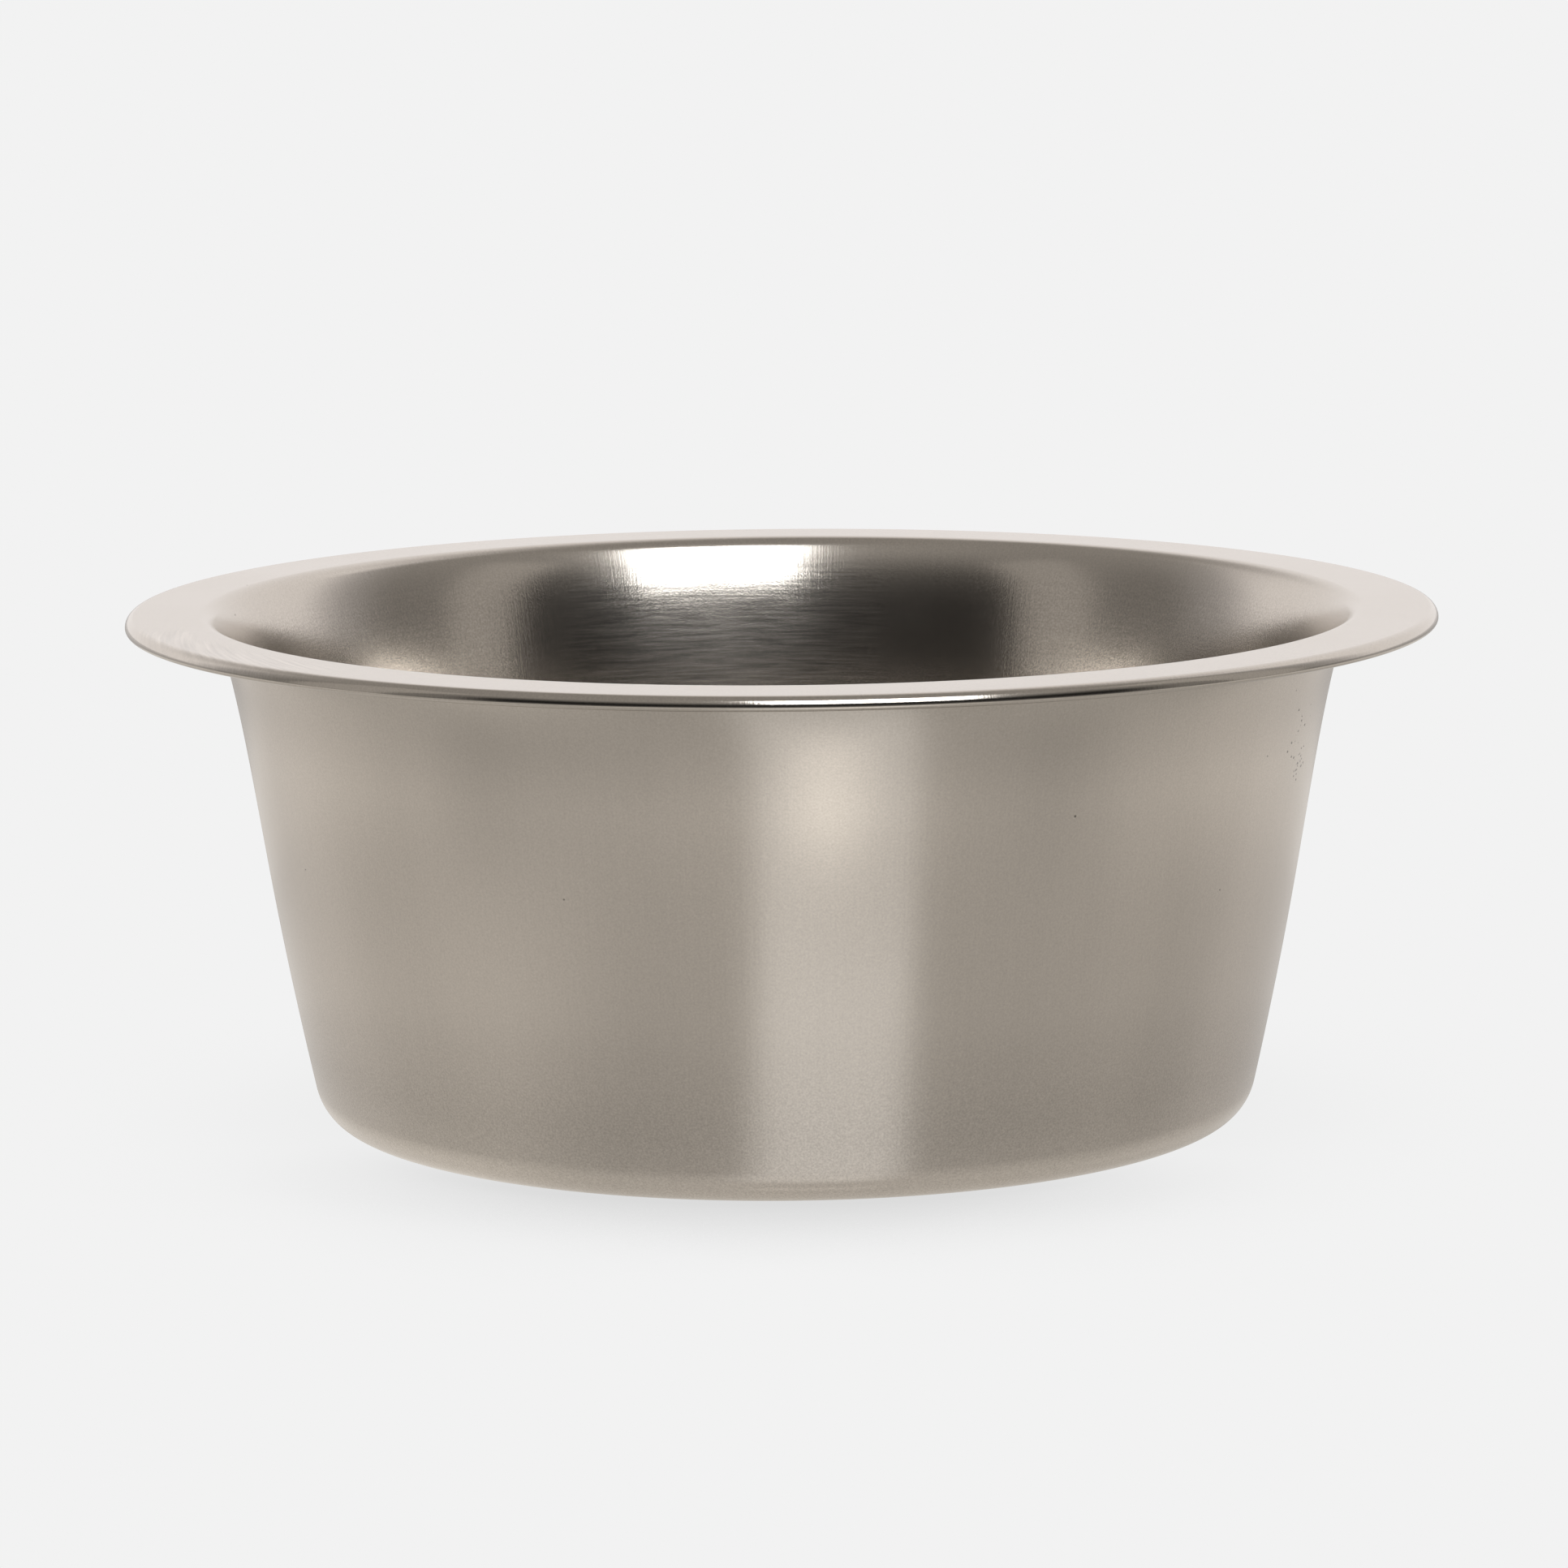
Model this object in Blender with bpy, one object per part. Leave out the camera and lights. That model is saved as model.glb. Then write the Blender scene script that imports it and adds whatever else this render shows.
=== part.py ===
"""A metal pet bowl: one stainless steel sheet, drawn deep, with a flat flange and a rolled lip.

Metres, +Z up. The bowl stands on Z = 0 and is round about the Z axis.
"""

import math

import bpy

SHEET = 0.0006
HEIGHT = 0.0823

# The base is flat, and its corner is a quarter of an ellipse on the outer face.
BASE_RADIUS = 0.0701
CORNER_REACH = 0.0061
CORNER_RISE = 0.0076

# The wall leans outwards by these angles at its foot, at its waist, where its mouth begins to flare
# and where the flare ends in a tight bend.
FOOT_TAPER = math.radians(12.3)
WAIST_TAPER = math.radians(9.3)
MOUTH_TAPER = math.radians(10.8)
FLARE_TAPER = math.radians(25)
WAIST_HEIGHT = 0.046
MOUTH_HEIGHT = 0.0715

# The bend's radius is that of its outer face, under the flange.
BEND_RADIUS = 0.0024
FLANGE_WIDTH = 0.0106

# The flange's edge turns down and back under itself, open towards the wall.
LIP_THICKNESS = 0.0023
LIP_RETURN = 0.0022

# How many straight steps stand for each curve of the outline, and for the full turn.
CORNER_STEPS = 5
LOWER_WALL_STEPS = 4
UPPER_WALL_STEPS = 2
FLARE_STEPS = 3
BEND_STEPS = 5
LIP_STEPS = 8
TURN_STEPS = 80
AXIS_MERGE = 1e-6
SMOOTH_UNDER = math.radians(40)

STEEL_COLOUR = (0.59, 0.55, 0.5, 1.0)
STEEL_ROUGHNESS = 0.3

UP = math.pi / 2


def base_corner():
    """The flat base and its corner, up to the foot of the wall."""
    stations = [(0.0, 0.0, 0.0)]
    foot = math.atan2(CORNER_REACH, CORNER_RISE * math.tan(FOOT_TAPER))
    for step in range(CORNER_STEPS + 1):
        turn = foot * step / CORNER_STEPS
        radius = BASE_RADIUS + CORNER_REACH * math.sin(turn)
        height = CORNER_RISE * (1 - math.cos(turn))
        heading = math.atan2(CORNER_RISE * math.sin(turn), CORNER_REACH * math.cos(turn))
        stations.append((radius, height, heading))
    return stations


def wall(start, top, first_taper, last_taper, steps):
    """A stretch of wall from a station up to a height, its taper changing evenly on the way."""
    radius, bottom, _ = start
    rise = (top - bottom) / steps
    change = (last_taper - first_taper) / steps
    stations = []
    for step in range(1, steps + 1):
        taper = first_taper + change * step
        radius += rise * math.tan(taper - change / 2)
        stations.append((radius, bottom + rise * step, UP - taper))
    return stations


def arc(start, turn, bend_radius, steps):
    """A round bend from a station: it turns left for a positive turn, right for a negative one."""
    radius, height, heading = start
    side = math.copysign(bend_radius, turn)
    centre_radius = radius - side * math.sin(heading)
    centre_height = height + side * math.cos(heading)
    stations = []
    for step in range(1, steps + 1):
        ahead = heading + turn * step / steps
        stations.append(
            (
                centre_radius + side * math.sin(ahead),
                centre_height - side * math.cos(ahead),
                ahead,
            )
        )
    return stations


def straight(start, length):
    """A straight run of this length from a station."""
    radius, height, heading = start
    return [(radius + length * math.cos(heading), height + length * math.sin(heading), heading)]


def outer_face():
    """The sheet's outer face from the middle of the base to its cut edge under the flange.

    Each station is a radius, a height and the direction in which the face runs there.
    """
    stations = base_corner()
    stations += wall(stations[-1], WAIST_HEIGHT, FOOT_TAPER, WAIST_TAPER, LOWER_WALL_STEPS)
    stations += wall(stations[-1], MOUTH_HEIGHT, WAIST_TAPER, MOUTH_TAPER, UPPER_WALL_STEPS)
    under_flange = HEIGHT - SHEET
    bend_bottom = under_flange - BEND_RADIUS * (1 - math.sin(FLARE_TAPER))
    stations += wall(stations[-1], bend_bottom, MOUTH_TAPER, FLARE_TAPER, FLARE_STEPS)
    stations += arc(stations[-1], FLARE_TAPER - UP, BEND_RADIUS, BEND_STEPS)
    stations += straight(stations[-1], FLANGE_WIDTH)
    stations += arc(stations[-1], -math.pi, LIP_THICKNESS / 2 - SHEET, LIP_STEPS)
    stations += straight(stations[-1], LIP_RETURN)
    return stations


def sheet_outline():
    """The section through the sheet, from the middle of the floor round the lip to that of the base."""
    outer = outer_face()
    inner = [
        (radius - SHEET * math.sin(heading), height + SHEET * math.cos(heading))
        for radius, height, heading in outer
    ]
    return inner + [(radius, height) for radius, height, _ in reversed(outer)]


def steel():
    """Satin stainless steel."""
    material = bpy.data.materials.new("stainless_steel")
    material.use_nodes = True
    shader = material.node_tree.nodes["Principled BSDF"]
    shader.inputs["Base Color"].default_value = STEEL_COLOUR
    shader.inputs["Metallic"].default_value = 1.0
    shader.inputs["Roughness"].default_value = STEEL_ROUGHNESS
    return material


def bowl():
    """The whole bowl, turned from its section."""
    points = sheet_outline()
    section = bpy.data.meshes.new("bowl")
    section.from_pydata(
        [(radius, 0.0, height) for radius, height in points],
        [(point, point + 1) for point in range(len(points) - 1)],
        [],
    )
    section.materials.append(steel())
    turned = bpy.data.objects.new("bowl", section)
    bpy.context.scene.collection.objects.link(turned)

    turn = turned.modifiers.new("turn", "SCREW")
    turn.steps = TURN_STEPS
    turn.render_steps = TURN_STEPS
    turn.use_merge_vertices = True
    turn.merge_threshold = AXIS_MERGE
    turn.use_smooth_shade = True

    bpy.context.view_layer.objects.active = turned
    turned.select_set(True)
    bpy.ops.object.modifier_apply(modifier=turn.name)
    turned.data.set_sharp_from_angle(angle=SMOOTH_UNDER)
    return turned


for leftover in list(bpy.data.objects):
    bpy.data.objects.remove(leftover)
bowl()
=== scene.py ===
"""The looks of a satin stainless steel pet bowl, standing on a white table in a plain studio."""

import math

import bpy
from mathutils import Matrix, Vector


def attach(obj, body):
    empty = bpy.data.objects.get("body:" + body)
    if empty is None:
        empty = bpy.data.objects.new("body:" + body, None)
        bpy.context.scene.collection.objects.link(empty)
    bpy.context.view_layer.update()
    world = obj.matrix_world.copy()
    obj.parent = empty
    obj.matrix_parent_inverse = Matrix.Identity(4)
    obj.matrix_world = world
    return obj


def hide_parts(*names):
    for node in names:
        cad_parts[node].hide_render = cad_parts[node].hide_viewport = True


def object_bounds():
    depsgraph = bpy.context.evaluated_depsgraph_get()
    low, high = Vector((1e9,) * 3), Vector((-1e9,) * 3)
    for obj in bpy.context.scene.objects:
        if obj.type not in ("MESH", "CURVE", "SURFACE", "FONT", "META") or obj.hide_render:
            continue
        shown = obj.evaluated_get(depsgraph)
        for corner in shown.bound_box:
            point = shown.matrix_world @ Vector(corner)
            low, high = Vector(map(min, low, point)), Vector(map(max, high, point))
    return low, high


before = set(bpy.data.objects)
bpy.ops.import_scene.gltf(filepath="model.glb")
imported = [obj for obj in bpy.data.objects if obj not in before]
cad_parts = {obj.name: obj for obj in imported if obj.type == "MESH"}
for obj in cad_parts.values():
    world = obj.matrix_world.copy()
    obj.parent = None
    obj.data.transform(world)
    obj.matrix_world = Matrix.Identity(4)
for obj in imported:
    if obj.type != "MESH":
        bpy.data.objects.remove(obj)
cad_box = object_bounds()


# The bowl: one sheet of stainless steel, drawn deep over a former. The wall runs up from a flat base in a
# slight bell, flares at the mouth and bends out into a flat flange, whose edge is rolled under into a lip.
# It is finished all over with a fine even satin, and the flange's edge is buffed smoother by its rolling.
MM = 0.001
SHEET = 0.6 * MM
RIM_RADIUS = cad_box[1][0]
HEIGHT = cad_box[1][2]
BASE_RADIUS = 70.1 * MM
CORNER_REACH = 6.1 * MM
CORNER_RISE = 7.6 * MM
BEND_RADIUS = 2.4 * MM
LIP_THICKNESS = 2.3 * MM
LIP_NOSE = 1.6 * MM
LIP_RETURN = 2.2 * MM

# How far the wall leans outwards, in degrees, at these heights and at the start of the bend.
FOOT_LEAN = (6.0 * MM, 12.3)
WALL_LEAN = (
    (24 * MM, 10.9),
    (46 * MM, 9.25),
    (52 * MM, 9.3),
    (58 * MM, 9.65),
    (63 * MM, 10.4),
    (67 * MM, 11.3),
    (70 * MM, 12.0),
    (73 * MM, 13.6),
    (76 * MM, 16.8),
    (78.5 * MM, 23.0),
)
FLARE_LEAN = 32.0

# How finely each stretch is divided, and the full turn.
BASE_PARTS = (0.0, 0.25, 0.5, 0.75, 0.97)
CORNER_STEPS = 24
WALL_STEPS = 120
BEND_STEPS = 18
FLANGE_STEPS = 8
LIP_TOP_STEPS = 28
LIP_UNDER_STEPS = 14
RETURN_STEPS = 2
TURN_STEPS = 512
AXIS_MERGE = 1e-6
SMOOTH_UNDER = math.radians(50)
UP = math.pi / 2


def base_and_corner():
    """The outer face's stations (radius, height, heading) from the middle of the base to the wall."""
    stations = [(BASE_RADIUS * part, 0.0, 0.0) for part in BASE_PARTS]
    foot = math.atan2(CORNER_REACH, CORNER_RISE * math.tan(math.radians(FOOT_LEAN[1])))
    for step in range(CORNER_STEPS + 1):
        turn = foot * step / CORNER_STEPS
        radius = BASE_RADIUS + CORNER_REACH * math.sin(turn)
        height = CORNER_RISE * (1 - math.cos(turn))
        heading = math.atan2(CORNER_RISE * math.sin(turn), CORNER_REACH * math.cos(turn))
        stations.append((radius, height, heading))
    return stations


def lean_curve(places):
    """A smooth lean over height through these places, as a function."""
    heights = [place[0] for place in places]
    leans = [math.radians(place[1]) for place in places]
    gaps = [after - before for before, after in zip(heights, heights[1:])]
    rates = [(after - before) / gap for before, after, gap in zip(leans, leans[1:], gaps)]
    slopes = [rates[0]]
    for before, after in zip(rates, rates[1:]):
        slopes.append(2 * before * after / (before + after) if before * after > 0 else 0.0)
    slopes.append(rates[-1])

    def lean(height):
        span = 0
        while span < len(gaps) - 1 and height > heights[span + 1]:
            span += 1
        gap = gaps[span]
        along = (height - heights[span]) / gap
        first = (1 + 2 * along) * (1 - along) ** 2 * leans[span]
        first += along * (1 - along) ** 2 * gap * slopes[span]
        last = along**2 * (3 - 2 * along) * leans[span + 1]
        last += along**2 * (along - 1) * gap * slopes[span + 1]
        return first + last

    return lean


def wall(start, top):
    """The wall from its foot to the start of the bend."""
    lean = lean_curve((FOOT_LEAN, *WALL_LEAN, (top, FLARE_LEAN)))
    radius, bottom, _ = start
    rise = (top - bottom) / WALL_STEPS
    stations = []
    for step in range(1, WALL_STEPS + 1):
        height = bottom + rise * step
        radius += rise * math.tan(lean(height - rise / 2))
        stations.append((radius, height, UP - lean(height)))
    return stations


def arc(start, turn, bend_radius, steps):
    """A round bend from a station: left for a positive turn, right for a negative one."""
    radius, height, heading = start
    side = math.copysign(bend_radius, turn)
    centre_radius = radius - side * math.sin(heading)
    centre_height = height + side * math.cos(heading)
    headings = [heading + turn * step / steps for step in range(1, steps + 1)]
    return [(centre_radius + side * math.sin(h), centre_height - side * math.cos(h), h) for h in headings]


def straight(start, length, steps):
    """A straight run from a station."""
    radius, height, heading = start
    stations = []
    for step in range(1, steps + 1):
        run = length * step / steps
        stations.append((radius + run * math.cos(heading), height + run * math.sin(heading), heading))
    return stations


def sheet_outline():
    """The section through the sheet, from the middle of the floor round the lip to that of the base."""
    outer = base_and_corner()
    flare = math.radians(FLARE_LEAN)
    bend_bottom = HEIGHT - SHEET - BEND_RADIUS * (1 - math.sin(flare))
    outer += wall(outer[-1], bend_bottom)
    outer += arc(outer[-1], flare - UP, BEND_RADIUS, BEND_STEPS)
    outer += straight(outer[-1], RIM_RADIUS - LIP_NOSE - outer[-1][0], FLANGE_STEPS)
    outer += arc(outer[-1], -UP, LIP_NOSE - SHEET, LIP_TOP_STEPS)
    outer += arc(outer[-1], -UP, LIP_THICKNESS - LIP_NOSE - SHEET, LIP_UNDER_STEPS)
    outer += straight(outer[-1], LIP_RETURN, RETURN_STEPS)
    inner = [(radius - SHEET * math.sin(h), height + SHEET * math.cos(h)) for radius, height, h in outer]
    return inner + [(radius, height) for radius, height, _ in reversed(outer)]


outline = sheet_outline()
bowl_mesh = bpy.data.meshes.new("bowl_sheet")
bowl_mesh.from_pydata(
    [(radius, 0.0, height) for radius, height in outline],
    [(point, point + 1) for point in range(len(outline) - 1)],
    [],
)
bowl = bpy.data.objects.new("bowl_sheet", bowl_mesh)
bpy.context.scene.collection.objects.link(bowl)
turn = bowl.modifiers.new("turn", "SCREW")
turn.steps = TURN_STEPS
turn.render_steps = TURN_STEPS
turn.use_merge_vertices = True
turn.merge_threshold = AXIS_MERGE
turn.use_smooth_shade = True
bpy.context.view_layer.objects.active = bowl
bowl.select_set(True)
bpy.ops.object.modifier_apply(modifier=turn.name)
bowl.data.set_sharp_from_angle(angle=SMOOTH_UNDER)

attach(bowl, "root")
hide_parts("bowl")

STEEL = (0.59, 0.55, 0.5)
SATIN_ROUGHNESS = 0.19
ROUGHNESS_DRIFT = 0.012
BUFFED_ROUGHNESS = 0.13
STRIP_ROUGHNESS = 0.15

# The grain and the clouds in the satin by how many lie in a metre, and the lines of polishing and drawing
# by how many lie in a radian round the bowl and in a metre along the section.
GRAIN_SCALE = 3200.0
CLOUDS_SCALE = 45.0
CLOUDS_RANGE = (0.3, 0.7)
POLISH_LINES = {"Round": 9.0, "Along": 2000.0}
DRAWING_LINES = {"Round": 240.0, "Along": 25.0}
FINE_DETAIL = 3.0

# How far each mark lightens or darkens the steel, and how high it stands in micrometres.
GRAIN_TONE = 0.26
CLOUDS_TONE = 0.05
DRAWING_TONE = 0.06
# The polishing streaks' tone is weak all round and strong at the back, where a painted highlight shows them
# catching the lamp.
STREAKS_AND_GLINT_TONE = (0.15, 1.6)
SCUFFS_TONE = 0.7
# The darker wall close under the lip is painted shade.
UNDER_LIP_PAINTED_SHADE = 0.85
PITS_TONE = 0.3
GRAIN_MORE_AT_THE_FOOT = 1.3
GRAIN_MORE_INSIDE = 1.5
MICROMETRE = 1e-6
GRAIN_RELIEF = 4.0
POLISH_RELIEF = 1.0
POLISH_RELIEF_MORE_INSIDE = 0.8
DRAWING_RELIEF = 4.0
DRAWING_RELIEF_MORE_INSIDE = 3.0
SCUFFS_RELIEF = 20.0
PITS_RELIEF = -20.0

# Where each mark starts and ends, by its height, its radius or how far it faces a direction.
FACE_TURN = (-0.05, 0.05)
FOOT_HEIGHTS = (8 * MM, 30 * MM)
STRIP_HEIGHTS = (0.8 * MM, 1.6 * MM)
# The heights over which the painted shade under the lip comes in.
UNDER_LIP_SHADE_HEIGHTS = (60 * MM, 73 * MM)
NOSE_RADII = (RIM_RADIUS - 1.6 * MM, RIM_RADIUS - 0.8 * MM)
INNER_WALL_HEIGHTS = (74 * MM, 80 * MM)
INNER_WALL_RADII = (72 * MM, 77 * MM)
# Where the painted highlight on the polishing streaks lies: the back of the inner wall, which faces the
# lamp.
STREAK_GLINT_TOWARDS = (-0.12, 0.993, 0.0)
STREAK_GLINT_FACING = (0.93, 0.985)

# The steel is divided into small cells, and a share of them has a pit. In a patch on the right of the wall
# nearly every cell has one, with a few strays above it and very few elsewhere. A pit reaches a part of its
# cell, from small to large, and its floor a part of that.
PIT_CELL = 0.6 * MM
PIT_STRETCH = (1.0, 0.5, 1.0)
PIT_REACH = (0.25, 0.5)
PIT_FLOOR = 0.5
CLEAN_SHARE = 0.0003
PITTED_PLACE = (80.8 * MM, -29.3 * MM, 60.2 * MM)
PITTED_HALF = (3.0 * MM, 3.6 * MM, 3.6 * MM)
PITTED_CORE = 0.3
STRAY_PITS_PLACE = (80.4 * MM, -33.3 * MM, 66.5 * MM)
STRAY_PITS_REACH = 12 * MM
STRAY_PITS_SHARE = 0.12

# The scuffs on the flange: how many lie in a radian and in a metre, and between which bearings, in radians
# from the front round to the left, and between which radii they come and go.
SCUFFS_ROUND = 42.0
SCUFFS_ACROSS = 1400.0
SCUFF_BREAKS = 6.0
SCUFFS_START = (0.7, 0.85)
SCUFFS_END = (1.2, 1.4)
SCUFFS_RADII = (RIM_RADIUS - 9.5 * MM, RIM_RADIUS - 6.5 * MM)
SCUFFS_FADE_RADII = (RIM_RADIUS - 1.2 * MM, RIM_RADIUS - 0.4 * MM)
SCUFFS_ON_THE_NOSE = 0.3


def fed(tree, value, socket):
    """Feeds a socket from another one, or with a number."""
    if isinstance(value, bpy.types.NodeSocket):
        tree.links.new(value, socket)
    else:
        socket.default_value = value


def maths(tree, operation, *values):
    """A maths node over sockets or numbers."""
    node = tree.nodes.new("ShaderNodeMath")
    node.operation = operation
    for value, socket in zip(values, node.inputs):
        fed(tree, value, socket)
    return node.outputs["Value"]


def vector_maths(tree, operation, first, second=None, scale=None):
    """A vector maths node over sockets or triples of numbers."""
    node = tree.nodes.new("ShaderNodeVectorMath")
    node.operation = operation
    fed(tree, first, node.inputs[0])
    if second is not None:
        fed(tree, second, node.inputs[1])
    if scale is not None:
        fed(tree, scale, node.inputs["Scale"])
    return node.outputs["Value" if operation in ("LENGTH", "DOT_PRODUCT") else "Vector"]


def mapped(tree, value, start, end, low=0.0, high=1.0, curve="SMOOTHSTEP"):
    """A value carried from one range to another."""
    node = tree.nodes.new("ShaderNodeMapRange")
    node.interpolation_type = curve
    fed(tree, value, node.inputs["Value"])
    for name, limit in (("From Min", start), ("From Max", end), ("To Min", low), ("To Max", high)):
        fed(tree, limit, node.inputs[name])
    return node.outputs["Result"]


def noise(tree, place, scale, detail=2.0):
    """A noise value, about 0.5, at a place."""
    node = tree.nodes.new("ShaderNodeTexNoise")
    fed(tree, place, node.inputs["Vector"])
    fed(tree, scale, node.inputs["Scale"])
    fed(tree, detail, node.inputs["Detail"])
    return node.outputs["Fac"]


def swing(tree, value):
    """A noise value carried to lie about 0."""
    return maths(tree, "SUBTRACT", value, 0.5)


def new_group(name, inputs, outputs):
    """A shader node group with these sockets, its inner tree, and the sockets on its way in and out."""
    tree = bpy.data.node_groups.new(name, "ShaderNodeTree")
    for label, kind in inputs:
        tree.interface.new_socket(name=label, in_out="INPUT", socket_type="NodeSocket" + kind)
    for label, kind in outputs:
        tree.interface.new_socket(name=label, in_out="OUTPUT", socket_type="NodeSocket" + kind)
    return tree, tree.nodes.new("NodeGroupInput").outputs, tree.nodes.new("NodeGroupOutput").inputs


def grouped(tree, group, **values):
    """A group's outputs, with these values on its inputs."""
    node = tree.nodes.new("ShaderNodeGroup")
    node.node_tree = group
    for label, value in values.items():
        fed(tree, value, node.inputs[label])
    return node.outputs


def bowl_place_group():
    """Where a point lies on the bowl: its way from the axis, run along the sheet, height and so on."""
    outputs = [(label, "Float") for label in ("Run", "Height", "Radius", "Inner")]
    tree, _, way_out = new_group("bowl_place", (), (("Direction", "Vector"), *outputs))
    place = tree.nodes.new("ShaderNodeTexCoord").outputs["Object"]
    across = vector_maths(tree, "MULTIPLY", place, (1.0, 1.0, 0.0))
    radius = vector_maths(tree, "LENGTH", across)
    height = vector_maths(tree, "DOT_PRODUCT", place, (0.0, 0.0, 1.0))
    normal = tree.nodes.new("ShaderNodeNewGeometry").outputs["Normal"]
    upward = vector_maths(tree, "DOT_PRODUCT", normal, (0.0, 0.0, 1.0))
    fed(tree, vector_maths(tree, "NORMALIZE", across), way_out["Direction"])
    fed(tree, maths(tree, "ADD", radius, height), way_out["Run"])
    fed(tree, height, way_out["Height"])
    fed(tree, radius, way_out["Radius"])
    fed(tree, mapped(tree, upward, *FACE_TURN), way_out["Inner"])
    return tree


def lines_group():
    """Fine lines in the sheet: how many a radian round the bowl, and how many a metre along the section."""
    inputs = (("Direction", "Vector"), ("Run", "Float"), ("Round", "Float"), ("Along", "Float"))
    tree, way_in, way_out = new_group("sheet_lines", inputs, (("Lines", "Float"),))
    turned = vector_maths(tree, "SCALE", way_in["Direction"], scale=way_in["Round"])
    lift = tree.nodes.new("ShaderNodeCombineXYZ")
    fed(tree, maths(tree, "MULTIPLY", way_in["Run"], way_in["Along"]), lift.inputs["Z"])
    place = vector_maths(tree, "ADD", turned, lift.outputs["Vector"])
    fed(tree, noise(tree, place, 1.0, FINE_DETAIL), way_out["Lines"])
    return tree


def pits_group():
    """Small pits, from 0 on clean steel to 1 in a pit, by the cell's width and the share that has one."""
    tree, way_in, way_out = new_group("pits", (("Cell", "Float"), ("Share", "Float")), (("Pits", "Float"),))
    cells = tree.nodes.new("ShaderNodeTexVoronoi")
    place = tree.nodes.new("ShaderNodeTexCoord").outputs["Object"]
    fed(tree, vector_maths(tree, "MULTIPLY", place, PIT_STRETCH), cells.inputs["Vector"])
    fed(tree, maths(tree, "DIVIDE", 1.0, way_in["Cell"]), cells.inputs["Scale"])
    lot = tree.nodes.new("ShaderNodeSeparateColor")
    fed(tree, cells.outputs["Color"], lot.inputs["Color"])
    chosen = maths(tree, "LESS_THAN", lot.outputs["Red"], way_in["Share"])
    reach = mapped(tree, lot.outputs["Green"], 0.0, 1.0, *PIT_REACH, "LINEAR")
    floor = maths(tree, "MULTIPLY", reach, PIT_FLOOR)
    spots = mapped(tree, cells.outputs["Distance"], floor, reach, 1.0, 0.0)
    fed(tree, maths(tree, "MULTIPLY", spots, chosen), way_out["Pits"])
    return tree


def scuffs_group():
    """Shallow spiral scuffs on the left of the flange, such as an edging roller leaves, and their place."""
    inputs = (("Radius", "Float"), ("Inner", "Float"))
    outputs = (("Scuffs", "Float"), ("Where", "Float"))
    tree, way_in, way_out = new_group("roller_scuffs", inputs, outputs)
    place = tree.nodes.new("ShaderNodeTexCoord").outputs["Object"]
    leftward = vector_maths(tree, "DOT_PRODUCT", place, (-1.0, 0.0, 0.0))
    forward = vector_maths(tree, "DOT_PRODUCT", place, (0.0, -1.0, 0.0))
    bearing = maths(tree, "ARCTAN2", leftward, forward)
    spiral = maths(tree, "MULTIPLY", bearing, -SCUFFS_ROUND)
    spiral = maths(tree, "MULTIPLY_ADD", way_in["Radius"], -SCUFFS_ACROSS, spiral)
    stroke = tree.nodes.new("ShaderNodeCombineXYZ")
    fed(tree, spiral, stroke.inputs["X"])
    fed(tree, maths(tree, "MULTIPLY", bearing, SCUFF_BREAKS), stroke.inputs["Y"])
    fed(tree, noise(tree, stroke.outputs["Vector"], 1.0, 1.0), way_out["Scuffs"])
    started = mapped(tree, bearing, *SCUFFS_START)
    ended = mapped(tree, bearing, *SCUFFS_END, 1.0, 0.0)
    here = mapped(tree, way_in["Radius"], *SCUFFS_RADII)
    fading = mapped(tree, way_in["Radius"], *SCUFFS_FADE_RADII, 1.0, SCUFFS_ON_THE_NOSE)
    for limit in (fading, started, ended, way_in["Inner"]):
        here = maths(tree, "MULTIPLY", here, limit)
    fed(tree, here, way_out["Where"])
    return tree


def pits_on_the_wall(tree, place):
    """The pits of the patch on the wall, the strays above it and the very few elsewhere."""
    from_patch = vector_maths(tree, "SUBTRACT", place, PITTED_PLACE)
    from_patch = vector_maths(tree, "LENGTH", vector_maths(tree, "DIVIDE", from_patch, PITTED_HALF))
    share = mapped(tree, from_patch, PITTED_CORE, 1.0, 1.0, CLEAN_SHARE)
    from_strays = vector_maths(tree, "LENGTH", vector_maths(tree, "SUBTRACT", place, STRAY_PITS_PLACE))
    strays = mapped(tree, from_strays, 0.0, STRAY_PITS_REACH, STRAY_PITS_SHARE, 0.0)
    share = maths(tree, "ADD", share, strays)
    return grouped(tree, pits_group(), Cell=PIT_CELL, Share=share)["Pits"]


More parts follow.
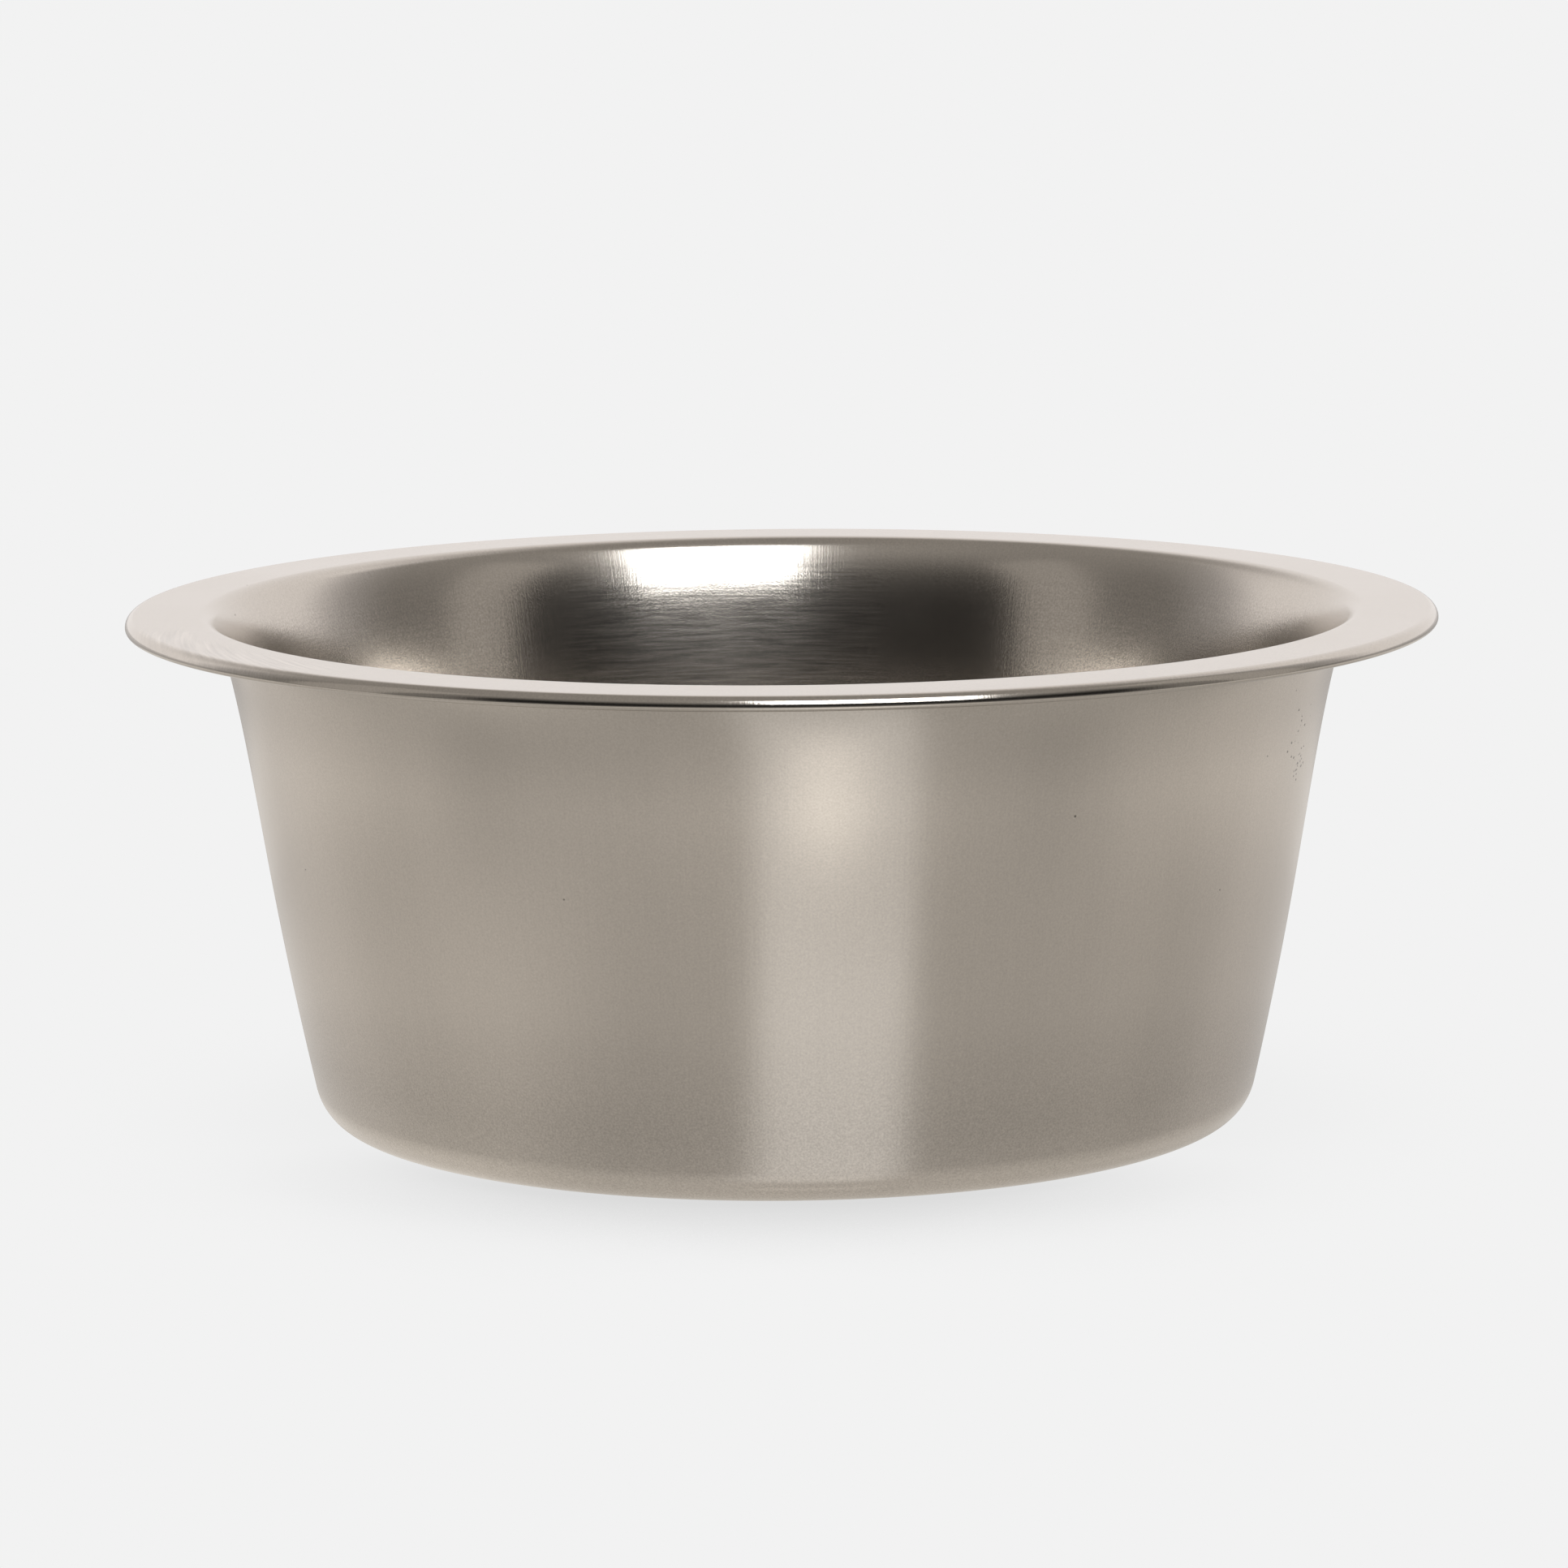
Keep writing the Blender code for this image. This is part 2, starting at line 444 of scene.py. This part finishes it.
def satin_steel():
    """Satin stainless steel with its grain, its lines of drawing and polishing, its scuffs and few pits,
    with painted shade under the lip and a painted highlight on the streaks at the back.
    """
    material = bpy.data.materials.new("satin_steel")
    material.use_nodes = True
    tree = material.node_tree
    shader = tree.nodes["Principled BSDF"]
    shader.inputs["Metallic"].default_value = 1.0

    where = grouped(tree, bowl_place_group())
    place = tree.nodes.new("ShaderNodeTexCoord").outputs["Object"]
    height = where["Height"]
    radius = where["Radius"]
    inner = where["Inner"]
    outer = maths(tree, "SUBTRACT", 1.0, inner)

    lines = lines_group()
    run = {"Direction": where["Direction"], "Run": where["Run"]}
    polish = grouped(tree, lines, **POLISH_LINES, **run)["Lines"]
    drawing = grouped(tree, lines, **DRAWING_LINES, **run)["Lines"]
    grain = noise(tree, place, GRAIN_SCALE)
    clouds = noise(tree, place, CLOUDS_SCALE, FINE_DETAIL)
    pits = pits_on_the_wall(tree, place)
    scuffs = grouped(tree, scuffs_group(), Radius=radius, Inner=inner)
    scuff = maths(tree, "MULTIPLY", swing(tree, scuffs["Scuffs"]), scuffs["Where"])

    # The corner at the foot keeps the rough skin that the drawing leaves, and the polishing wheel stopped
    # just short of the base. The wall is darkened close under the lip as painted shade. Inside, the grain
    # is coarser, and the polishing streaks at the back are painted much stronger where they catch the lamp,
    # as a painted highlight.
    foot = maths(tree, "MULTIPLY", outer, mapped(tree, height, *FOOT_HEIGHTS, 1.0, 0.0))
    strip = maths(tree, "MULTIPLY", outer, mapped(tree, height, *STRIP_HEIGHTS, 1.0, 0.0))
    # Painted shade under the lip, darkening the outer wall's steel colour.
    painted_shade_under_lip = maths(tree, "MULTIPLY", outer, mapped(tree, height, *UNDER_LIP_SHADE_HEIGHTS))
    nose = mapped(tree, radius, *NOSE_RADII)
    inner_wall = maths(tree, "MULTIPLY", inner, mapped(tree, height, *INNER_WALL_HEIGHTS, 1.0, 0.0))
    inner_wall = maths(tree, "MULTIPLY", inner_wall, mapped(tree, radius, *INNER_WALL_RADII))
    # Polishing streaks, real all round and painted far stronger at the back as a painted highlight where
    # they catch the lamp.
    backward = vector_maths(tree, "DOT_PRODUCT", where["Direction"], STREAK_GLINT_TOWARDS)
    streaks_and_glint = mapped(tree, backward, *STREAK_GLINT_FACING, *STREAKS_AND_GLINT_TONE)
    streaks_and_glint = maths(tree, "MULTIPLY", streaks_and_glint, inner_wall)
    grain_part = maths(tree, "MULTIPLY_ADD", foot, GRAIN_MORE_AT_THE_FOOT, 1.0)
    grain_part = maths(tree, "MULTIPLY_ADD", inner_wall, GRAIN_MORE_INSIDE, grain_part)

    tone = 1.0
    grain_tone = maths(tree, "MULTIPLY", grain_part, GRAIN_TONE)
    for mark, strength in (
        (swing(tree, grain), grain_tone),
        (swing(tree, clouds), CLOUDS_TONE),
        (swing(tree, drawing), DRAWING_TONE),
        (swing(tree, polish), streaks_and_glint),
        (scuff, SCUFFS_TONE),
    ):
        tone = maths(tree, "MULTIPLY_ADD", mark, strength, tone)
    # The wall under the lip is darkened by painted shade, and the pits are darkened.
    for mark, tone_there in ((painted_shade_under_lip, UNDER_LIP_PAINTED_SHADE), (pits, PITS_TONE)):
        tone = maths(tree, "MULTIPLY", tone, mapped(tree, mark, 0.0, 1.0, 1.0, tone_there, "LINEAR"))
    fed(tree, vector_maths(tree, "SCALE", STEEL, scale=tone), shader.inputs["Base Color"])

    drift = (SATIN_ROUGHNESS - ROUGHNESS_DRIFT, SATIN_ROUGHNESS + ROUGHNESS_DRIFT)
    roughness = mapped(tree, clouds, *CLOUDS_RANGE, *drift)
    roughness = mapped(tree, nose, 0.0, 1.0, roughness, BUFFED_ROUGHNESS)
    roughness = mapped(tree, strip, 0.0, 1.0, roughness, STRIP_ROUGHNESS)
    fed(tree, roughness, shader.inputs["Roughness"])

    relief = 0.0
    for mark, strength in (
        (grain, maths(tree, "MULTIPLY", grain_part, GRAIN_RELIEF)),
        (polish, maths(tree, "MULTIPLY_ADD", inner, POLISH_RELIEF_MORE_INSIDE, POLISH_RELIEF)),
        (drawing, maths(tree, "MULTIPLY_ADD", inner, DRAWING_RELIEF_MORE_INSIDE, DRAWING_RELIEF)),
        (scuff, SCUFFS_RELIEF),
        (pits, PITS_RELIEF),
    ):
        relief = maths(tree, "MULTIPLY_ADD", mark, strength, relief)
    bump = tree.nodes.new("ShaderNodeBump")
    bump.inputs["Strength"].default_value = 1.0
    bump.inputs["Distance"].default_value = MICROMETRE
    fed(tree, relief, bump.inputs["Height"])
    fed(tree, bump.outputs["Normal"], shader.inputs["Normal"])
    return material


bowl.data.materials.append(satin_steel())


# The table: a large sheet of glossy white board. The camera sees one even pale ground, darkened only where
# the bowl keeps off the light, which comes mostly from behind. The steel sees that ground too, as dim as
# the studio leaves it, with the glare of the lamp and the backdrop on it.
PALE = 0.888
TABLE_SIZE = 20.0
TABLE_GAP = 0.05 * MM
TABLE_WHITE = (0.8, 0.8, 0.8, 1.0)
TABLE_ROUGHNESS = 0.16
TABLE_IN_STEEL = (0.69, 0.656, 0.613)
TABLE_GLARE_TILT = (0.055, 0.04, 1.0)
TABLE_GLARE_INDEX = 1.76

# How brightly the steel sees the board lit: by the distance from the bowl's axis, further out by the
# degrees round from the front, to the right above zero, and a little more on the left.
LIT_FAR = 0.7
LIT_BY_DISTANCE = (
    (0.07, 0.94),
    (0.077, 0.86),
    (0.082, 0.67),
    (0.092, 0.63),
    (0.11, 0.69),
    (0.13, 0.77),
    (0.17, 0.79),
    (0.2, 0.8),
    (0.25, 0.98),
    (0.3, 1.05),
    (0.4, 0.6),
    (0.6, 0.35),
)
LIT_ROUND_THE_BOWL = (
    (-125, 1.0),
    (-108, 1.1),
    (-88, 1.18),
    (-72, 1.08),
    (-54, 0.8),
    (-40, 0.92),
    (-26, 1.05),
    (-16, 1.18),
    (24, 1.18),
    (34, 1.02),
    (49, 0.88),
    (66, 1.12),
    (88, 1.25),
    (105, 1.12),
    (125, 1.05),
)
LIT_ROUND_FROM = (0.17, 0.23)
LIT_MORE_ON_THE_LEFT = 0.27
LEFT_FACING = (0.35, 0.75)
LEFT_DISTANCE = (0.13, 0.22)
LEFT_FURTHER_OUT = 0.3
LIT_LEVEL = 1.0963

# A pool of light in front of the bowl, and the shade at its foot by how open the board is to the light.
POOL_PLACE = (0.03, -0.21, 0.0)
POOL_HALF = (0.034, 0.02, 1.0)
POOL_EDGE = (0.4, 1.3)
POOL_LEVEL = 1.2
SHADE_SAMPLES = 8
SHADE_REACH = 0.09
SHADE_OPENNESS = (0.42, 0.7)
SHADE_DEPTH = 0.2
SHADE_AT_THE_SIDES = 0.2
SHADE_TOWARDS = (-0.1, -0.995, 0.0)
SHADE_FACING = (0.4, 1.0)
SHADE_ENDS = (0.2, 0.3)

half = TABLE_SIZE / 2
table_corners = [(x * half, y * half, -TABLE_GAP) for x, y in ((-1, -1), (1, -1), (1, 1), (-1, 1))]
table_mesh = bpy.data.meshes.new("table")
table_mesh.from_pydata(table_corners, [], [(0, 1, 2, 3)])
table = bpy.data.objects.new("table", table_mesh)
bpy.context.scene.collection.objects.link(table)


def glowing(tree, colour):
    """An emission shader of this colour."""
    node = tree.nodes.new("ShaderNodeEmission")
    fed(tree, colour, node.inputs["Color"])
    return node.outputs["Emission"]


def mixed_shaders(tree, share, first, second):
    """Two shaders mixed by a share of the second."""
    node = tree.nodes.new("ShaderNodeMixShader")
    for value, socket in zip((share, first, second), node.inputs):
        fed(tree, value, socket)
    return node.outputs["Shader"]


def ramped(tree, value, stops, curve):
    """A value carried along a curve of stops, each a place from 0 to 1 and the colour there."""
    node = tree.nodes.new("ShaderNodeValToRGB")
    node.color_ramp.interpolation = curve
    fed(tree, value, node.inputs["Fac"])
    elements = node.color_ramp.elements
    elements.remove(elements[1])
    elements[0].position = stops[0][0]
    for place, _ in stops[1:]:
        elements.new(place)
    for element, (_, colour) in zip(elements, stops):
        element.color = (*colour, 1.0)
    return node.outputs["Color"]


def bearing_of(tree, place):
    """How far round from the front a place lies, in radians, to the right above zero."""
    axes = tree.nodes.new("ShaderNodeSeparateXYZ")
    fed(tree, place, axes.inputs["Vector"])
    return maths(tree, "ARCTAN2", axes.outputs["X"], maths(tree, "MULTIPLY", axes.outputs["Y"], -1.0))


def ramped_round(tree, bearing, stops, curve):
    """A colour that changes with the bearing, by stops in degrees."""
    part = mapped(tree, bearing, -math.pi, math.pi, curve="LINEAR")
    return ramped(tree, part, [(0.5 + degrees / 360, colour) for degrees, colour in stops], curve)


def pale_ground(tree, place, away):
    """What the camera sees of the board: one pale level, darker in the shade at the bowl's foot."""
    openness = tree.nodes.new("ShaderNodeAmbientOcclusion")
    openness.samples = SHADE_SAMPLES
    openness.inputs["Distance"].default_value = SHADE_REACH
    facing = vector_maths(tree, "DOT_PRODUCT", vector_maths(tree, "NORMALIZE", place), SHADE_TOWARDS)
    depth = mapped(tree, facing, *SHADE_FACING, SHADE_DEPTH * SHADE_AT_THE_SIDES, SHADE_DEPTH)
    depth = mapped(tree, away, *SHADE_ENDS, depth, 0.0)
    deepest = maths(tree, "MULTIPLY", maths(tree, "SUBTRACT", 1.0, depth), PALE)
    return glowing(tree, mapped(tree, openness.outputs["AO"], *SHADE_OPENNESS, deepest, PALE))


def lit_ground(tree, place, away):
    """What the steel sees of the board: dimmer, and lit unevenly by the studio and by the bowl itself."""
    stops = [(distance / LIT_FAR, (brightness,) * 3) for distance, brightness in LIT_BY_DISTANCE]
    level = ramped(tree, maths(tree, "DIVIDE", away, LIT_FAR), stops, "EASE")

    stops = [(degrees, (brightness,) * 3) for degrees, brightness in LIT_ROUND_THE_BOWL]
    around = ramped_round(tree, bearing_of(tree, place), stops, "EASE")
    around = mapped(tree, mapped(tree, away, *LIT_ROUND_FROM), 0.0, 1.0, 1.0, around, "LINEAR")
    level = maths(tree, "MULTIPLY", level, around)

    leftward = maths(tree, "DIVIDE", vector_maths(tree, "DOT_PRODUCT", place, (-1.0, 0.0, 0.0)), away)
    side = mapped(tree, leftward, *LEFT_FACING)
    side = maths(tree, "MULTIPLY", side, mapped(tree, away, *LEFT_DISTANCE, 1.0, LEFT_FURTHER_OUT))
    side = maths(tree, "MULTIPLY_ADD", side, LIT_MORE_ON_THE_LEFT, 1.0)
    level = maths(tree, "MULTIPLY", maths(tree, "MULTIPLY", level, side), LIT_LEVEL)

    from_pool = vector_maths(tree, "SUBTRACT", place, POOL_PLACE)
    from_pool = vector_maths(tree, "LENGTH", vector_maths(tree, "DIVIDE", from_pool, POOL_HALF))
    level = maths(tree, "ADD", level, mapped(tree, from_pool, *POOL_EDGE, POOL_LEVEL, 0.0))
    return glowing(tree, vector_maths(tree, "SCALE", TABLE_IN_STEEL, scale=level))


def white_board():
    """The glossy board, as the camera, the steel and the rest of the light see it."""
    material = bpy.data.materials.new("white_board")
    material.use_nodes = True
    tree = material.node_tree
    plain = tree.nodes["Principled BSDF"]
    plain.inputs["Base Color"].default_value = TABLE_WHITE
    plain.inputs["Roughness"].default_value = TABLE_ROUGHNESS
    place = tree.nodes.new("ShaderNodeTexCoord").outputs["Object"]
    away = vector_maths(tree, "LENGTH", place)

    glare = tree.nodes.new("ShaderNodeBsdfGlossy")
    glare.inputs["Roughness"].default_value = TABLE_ROUGHNESS
    fed(tree, vector_maths(tree, "NORMALIZE", TABLE_GLARE_TILT), glare.inputs["Normal"])
    fresnel = tree.nodes.new("ShaderNodeFresnel")
    fresnel.inputs["IOR"].default_value = TABLE_GLARE_INDEX
    lit = lit_ground(tree, place, away)
    shining = mixed_shaders(tree, fresnel.outputs["Fac"], lit, glare.outputs["BSDF"])

    path = tree.nodes.new("ShaderNodeLightPath").outputs
    in_steel = maths(tree, "MAXIMUM", path["Is Glossy Ray"], path["Is Transmission Ray"])
    seen = mixed_shaders(tree, in_steel, plain.outputs["BSDF"], shining)
    seen = mixed_shaders(tree, path["Is Camera Ray"], seen, pale_ground(tree, place, away))
    fed(tree, seen, tree.nodes["Material Output"].inputs["Surface"])
    return material


table.data.materials.append(white_board())


# The studio round the table: a bright backdrop behind, dim above, and an unlit room behind the camera. One
# large soft lamp stands in front, high and a little to the right, and a dim card stands on each side.

# The room's level by the degrees round from the front, to the right above zero, and where the backdrop
# starts, which has a tint of its own.
BACKDROP_TINT = (1.01, 0.97, 0.955)
ROOM_TINT = (1.03, 0.97, 0.907)
BACKDROP_FROM = 111
ROOM_ROUND = (
    (-180, 0.98),
    (-124, 0.98),
    (-112, 0.47),
    (-94, 0.22),
    (-60, 0.22),
    (-50, 0.018),
    (60, 0.018),
    (72, 0.24),
    (97, 0.24),
    (112, 0.5),
    (124, 0.98),
    (180, 0.98),
)

# The ceiling's level, how far up the room fades into it, and how much further up the backdrop does, more so
# towards the right.
CEILING = 0.335
CEILING_RISE = (math.radians(13), math.radians(50))
BACKDROP_BEARING = (math.radians(98), math.radians(120))
BACKDROP_ACROSS = (-0.35, 0.2)
BACKDROP_RISE = (math.radians(1), math.radians(22))

world = bpy.data.worlds.new("studio")
bpy.context.scene.world = world
world.use_nodes = True
tree = world.node_tree
outlook = tree.nodes.new("ShaderNodeTexCoord").outputs["Generated"]
axes = tree.nodes.new("ShaderNodeSeparateXYZ")
fed(tree, outlook, axes.inputs["Vector"])
bearing = bearing_of(tree, outlook)
stops = []
for degrees, brightness in ROOM_ROUND:
    tint = BACKDROP_TINT if abs(degrees) > BACKDROP_FROM else ROOM_TINT
    stops.append((degrees, [brightness * part for part in tint]))
round_the_room = ramped_round(tree, bearing, stops, "LINEAR")
behind = mapped(tree, maths(tree, "ABSOLUTE", bearing), *BACKDROP_BEARING)
taller = mapped(tree, axes.outputs["X"], *BACKDROP_ACROSS, *BACKDROP_RISE)
elevation = maths(tree, "ARCSINE", axes.outputs["Z"])
elevation = maths(tree, "SUBTRACT", elevation, maths(tree, "MULTIPLY", behind, taller))
above = tree.nodes.new("ShaderNodeMixRGB")
fed(tree, mapped(tree, elevation, *CEILING_RISE), above.inputs["Fac"])
fed(tree, round_the_room, above.inputs["Color1"])
fed(tree, (*(CEILING * part for part in ROOM_TINT), 1.0), above.inputs["Color2"])
fed(tree, above.outputs["Color"], tree.nodes["Background"].inputs["Color"])

# The cards: how far each stands to the side, from where to where it runs towards the back, and how bright
# it is. Their front edges slant forwards.
CARDS = (("left", -0.388, (-0.185, -0.064), 0.43), ("right", 0.356, (-0.105, -0.02), 0.45))
CARD_HEIGHT = 0.45
CARD_SLANT = 0.09

for side, across, (front, back), brightness in CARDS:
    card_mesh = bpy.data.meshes.new(side + "_card")
    corners = [(across, front, 0.0), (across, back, 0.0)]
    corners += [(across, back, CARD_HEIGHT), (across, front - CARD_SLANT, CARD_HEIGHT)]
    card_mesh.from_pydata(corners, [], [(0, 1, 2, 3)])
    card = bpy.data.objects.new(side + "_card", card_mesh)
    bpy.context.scene.collection.objects.link(card)
    card.visible_camera = False
    card_paint = bpy.data.materials.new(side + "_card")
    card_paint.use_nodes = True
    tree = card_paint.node_tree
    paint = glowing(tree, (*(brightness * part for part in ROOM_TINT), 1.0))
    fed(tree, paint, tree.nodes["Material Output"].inputs["Surface"])
    card.data.materials.append(card_paint)

# The lamp: it stands this far off in the direction that its bearing and rise give, with a slight roll.
KEY_BEARING = math.radians(13)
KEY_RISE = math.radians(33)
KEY_PLACE = (0.084, 0.328, 1.5)
KEY_ROLL = math.radians(-3.5)
KEY_WIDTH = 0.84
KEY_HEIGHT = 0.99
KEY_RADIANCE = 4.87
KEY_COLOUR = (0.98, 0.99, 1.0)

key = bpy.data.lights.new("key_lamp", "AREA")
key.shape = "RECTANGLE"
key.size = KEY_WIDTH
key.size_y = KEY_HEIGHT
key.energy = KEY_RADIANCE * math.pi * KEY_WIDTH * KEY_HEIGHT
key.color = KEY_COLOUR
key_lamp = bpy.data.objects.new("key_lamp", key)
bpy.context.scene.collection.objects.link(key_lamp)
key_lamp.matrix_world = (
    Matrix.Rotation(KEY_BEARING, 4, "Z")
    @ Matrix.Rotation(UP - KEY_RISE, 4, "X")
    @ Matrix.Translation(KEY_PLACE)
    @ Matrix.Rotation(KEY_ROLL, 4, "Z")
)
key_lamp.visible_camera = False


# The camera: a long lens in front of the bowl and a little above its rim.
CAMERA_PLACE = (0.0, -1.0552, 0.21832)
CAMERA_TURN = math.radians(-0.0085)
CAMERA_DIP = math.radians(8.901)
CAMERA_ROLL = math.radians(-0.4887)
SENSOR_WIDTH = 36.0
FOCAL_LENGTH = 152.06
FARTHEST = 100.0

camera = bpy.data.cameras.new("camera")
camera.sensor_width = SENSOR_WIDTH
camera.lens = FOCAL_LENGTH
camera.clip_end = FARTHEST
viewpoint = bpy.data.objects.new("camera", camera)
bpy.context.scene.collection.objects.link(viewpoint)
viewpoint.matrix_world = (
    Matrix.Translation(CAMERA_PLACE)
    @ Matrix.Rotation(CAMERA_TURN, 4, "Z")
    @ Matrix.Rotation(UP - CAMERA_DIP, 4, "X")
    @ Matrix.Rotation(CAMERA_ROLL, 4, "Z")
)
bpy.context.scene.camera = viewpoint
bpy.context.scene.view_settings.view_transform = "Standard"


bpy.context.view_layer.update()
